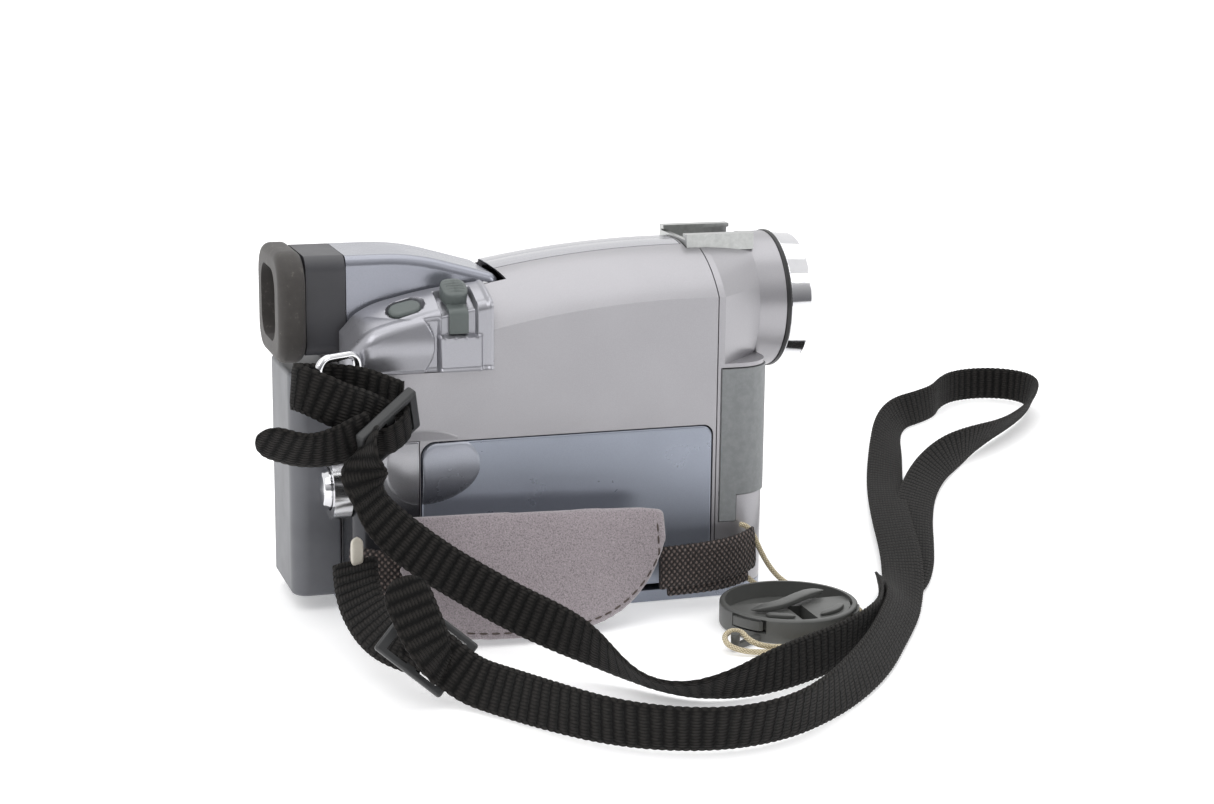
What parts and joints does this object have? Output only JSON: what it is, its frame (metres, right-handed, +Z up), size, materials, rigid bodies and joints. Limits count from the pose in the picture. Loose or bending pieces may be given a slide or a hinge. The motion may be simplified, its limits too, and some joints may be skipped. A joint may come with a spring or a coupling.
{
  "type": "camcorder",
  "caption": "Compact tape camcorder with tilting viewfinder, folding side screen, padded hand strap, neck strap and lens cap on a cord.",
  "frame": {"origin": "on the flat base, midway between the eyecup's back and the lens ring's front, on the lens's vertical plane", "axes": "+X forward along the lens, +Y to the side with the folding screen, +Z up"},
  "size_m": [0.3348, 0.3304, 0.0994],
  "materials": {
    "silver_shell": "satin metallic lacquer",
    "top_strip": "satin metallic lacquer",
    "finder_shell": "satin metallic lacquer",
    "dial_shell": "satin",
    "blue_gray_cover": "satin metallic lacquer",
    "deck_silver": "polished lacquer",
    "gray_controls": "satin",
    "chrome_trim": "polished",
    "dial_ring": "satin",
    "black_trim": "satin",
    "shoe_metal": "satin",
    "flap_rubber": "matt",
    "jack_plastic": "matt",
    "battery_gray": "satin",
    "charcoal": "satin",
    "eyecup_rubber": "matt",
    "lens_glass": "coated",
    "inner_black": "matt",
    "steel": "brushed",
    "drum_metal": "polished",
    "roller_rubber": "matt",
    "reel_white": "satin",
    "board_green": "coated",
    "screen_shell": "satin metallic lacquer",
    "screen_frame": "satin",
    "screen_face": "gloss",
    "suede": "napped",
    "brown_webbing": "woven",
    "black_webbing": "woven",
    "slider_plastic": "satin",
    "cap_gray": "satin",
    "cream_cord": "braided"
  },
  "bodies": {
    "camcorder": {"right_shell": "silver_shell", "left_shell": "silver_shell", "front_housing": "silver_shell", "top_cover": "top_strip", "left_rear_cap": "top_strip", "dial_housing": "dial_shell", "bottom_cover": "blue_gray_cover", "control_deck": "deck_silver", "lens_ring": "chrome_trim", "strap_ring": "chrome_trim", "barrel_trim_ring": "black_trim", "accessory_shoe": "shoe_metal", "terminal_panel": "jack_plastic", "front_lens_glass": "lens_glass", "lens_tube": "inner_black", "tripod_bush": "steel", "case_screws": "steel", "cover_hinge_pin": "steel", "tape_deck_plate": "steel", "cassette_basket": "steel", "lens_guide_rods": "steel", "viewfinder_bracket": "steel", "screen_hinge_pin": "steel", "main_board": "board_green", "image_sensor_board": "board_green", "side_keys": "screen_shell", "hand_strap_pad": "suede", "hand_strap_webbing": "brown_webbing", "neck_strap": "black_webbing", "neck_strap_ends": "black_webbing", "strap_sliders": "slider_plastic", "lens_cap": "cap_gray", "cap_cord": "cream_cord"},
    "viewfinder": {"viewfinder_housing": "finder_shell", "viewfinder_display": "inner_black"},
    "eyepiece": {"eyepiece_collar": "charcoal", "eyepiece_lens": "lens_glass", "eyecup": "eyecup_rubber"},
    "diopter": {"diopter_lever": "charcoal"},
    "screen": {"screen_cover": "screen_shell", "screen_bezel": "screen_frame", "screen_panel": "screen_face", "screen_hinge": "screen_shell"},
    "cassette_door": {"cassette_cover": "blue_gray_cover"},
    "flap": {"terminal_cover": "flap_rubber"},
    "photo": {"photo_button": "gray_controls"},
    "zoom": {"zoom_lever": "gray_controls"},
    "dial": {"power_dial": "dial_ring"},
    "start": {"start_stop_button": "chrome_trim"},
    "battery": {"battery_pack": "battery_gray"},
    "release": {"battery_release": "gray_controls"},
    "eject": {"eject_slide": "gray_controls"},
    "zoom_group": {"zoom_lens_group": "inner_black"},
    "drum": {"head_drum": "drum_metal"},
    "capstan_shaft": {"capstan": "steel"},
    "roller": {"pinch_roller": "roller_rubber"},
    "supply_reel": {"supply_reel_spindle": "reel_white"},
    "takeup_reel": {"takeup_reel_spindle": "reel_white"},
    "clip_left": {"cap_clip_left": "cap_gray"},
    "clip_right": {"cap_clip_right": "cap_gray"}
  },
  "joints": [
    {"name": "viewfinder_tilt", "type": "hinge", "parent": "camcorder", "child": "viewfinder", "pos_m": [-0.0195, 0, 0.0865], "axis": [0, 1, 0], "range_deg": [0, 60]},
    {"name": "eyepiece_slide", "type": "slide", "parent": "viewfinder", "child": "eyepiece", "axis": [-1, 0, 0], "range_m": [0, 0.012]},
    {"name": "diopter_slide", "type": "slide", "parent": "eyepiece", "child": "diopter", "axis": [0, 0, 1], "range_m": [-0.003, 0.003]},
    {"name": "screen_open", "type": "hinge", "parent": "camcorder", "child": "screen", "pos_m": [0.042, 0.024, 0.0485], "axis": [0, 0, -1], "range_deg": [0, 90]},
    {"name": "cover_open", "type": "hinge", "parent": "camcorder", "child": "cassette_door", "pos_m": [0, -0.025, 0.0064], "axis": [1, 0, 0], "range_deg": [0, 11.5]},
    {"name": "flap_open", "type": "hinge", "parent": "camcorder", "child": "flap", "pos_m": [0.0449, -0.0282, 0.047], "axis": [0, 0, -1], "range_deg": [0, 90]},
    {"name": "photo_press", "type": "slide", "parent": "camcorder", "child": "photo", "axis": [0.2246, 0.3773, -0.8984], "range_m": [0, 0.0008], "stiffness_N_per_m": 400},
    {"name": "zoom_slide", "type": "slide", "parent": "camcorder", "child": "zoom", "axis": [1, 0, 0], "range_m": [-0.0012, 0.0012], "stiffness_N_per_m": 300},
    {"name": "dial_turn", "type": "hinge", "parent": "camcorder", "child": "dial", "pos_m": [-0.06, -0.0199, 0.0365], "axis": [1, 0, 0], "range_deg": [-30, 30]},
    {"name": "start_press", "type": "slide", "parent": "camcorder", "child": "start", "axis": [1, 0, 0], "range_m": [0, 0.001], "stiffness_N_per_m": 400},
    {"name": "battery_out", "type": "slide", "parent": "camcorder", "child": "battery", "axis": [-1, 0, 0], "range_m": [0, 0.03]},
    {"name": "release_slide", "type": "slide", "parent": "camcorder", "child": "release", "axis": [1, 0, 0], "range_m": [0, 0.0025], "stiffness_N_per_m": 150},
    {"name": "eject_slide_move", "type": "slide", "parent": "camcorder", "child": "eject", "axis": [1, 0, 0], "range_m": [0, 0.002], "stiffness_N_per_m": 150},
    {"name": "zoom_group_slide", "type": "slide", "parent": "camcorder", "child": "zoom_group", "axis": [1, 0, 0], "range_m": [0, 0.018]},
    {"name": "drum_spin", "type": "hinge", "parent": "camcorder", "child": "drum", "pos_m": [0, -0.012, 0.0635], "axis": [0, 1, 0], "continuous": true},
    {"name": "capstan_spin", "type": "hinge", "parent": "camcorder", "child": "capstan_shaft", "pos_m": [0.024, -0.012, 0.057], "axis": [0, 1, 0], "continuous": true},
    {"name": "roller_spin", "type": "hinge", "parent": "camcorder", "child": "roller", "pos_m": [0.02945, -0.012, 0.057], "axis": [0, 1, 0], "continuous": true},
    {"name": "supply_spin", "type": "hinge", "parent": "camcorder", "child": "supply_reel", "pos_m": [-0.016, -0.012, 0.028], "axis": [0, 1, 0], "continuous": true},
    {"name": "takeup_spin", "type": "hinge", "parent": "camcorder", "child": "takeup_reel", "pos_m": [0.016, -0.012, 0.028], "axis": [0, 1, 0], "continuous": true},
    {"name": "clip_left_press", "type": "slide", "parent": "camcorder", "child": "clip_left", "axis": [1, 0, 0], "range_m": [0, 0.0013], "stiffness_N_per_m": 300},
    {"name": "clip_right_press", "type": "slide", "parent": "camcorder", "child": "clip_right", "axis": [-1, 0, 0], "range_m": [0, 0.0013], "stiffness_N_per_m": 300}
  ],
  "couplings": [
    {"joint": "roller_spin", "follows": "capstan_spin", "ratio": -0.30488}
  ]
}
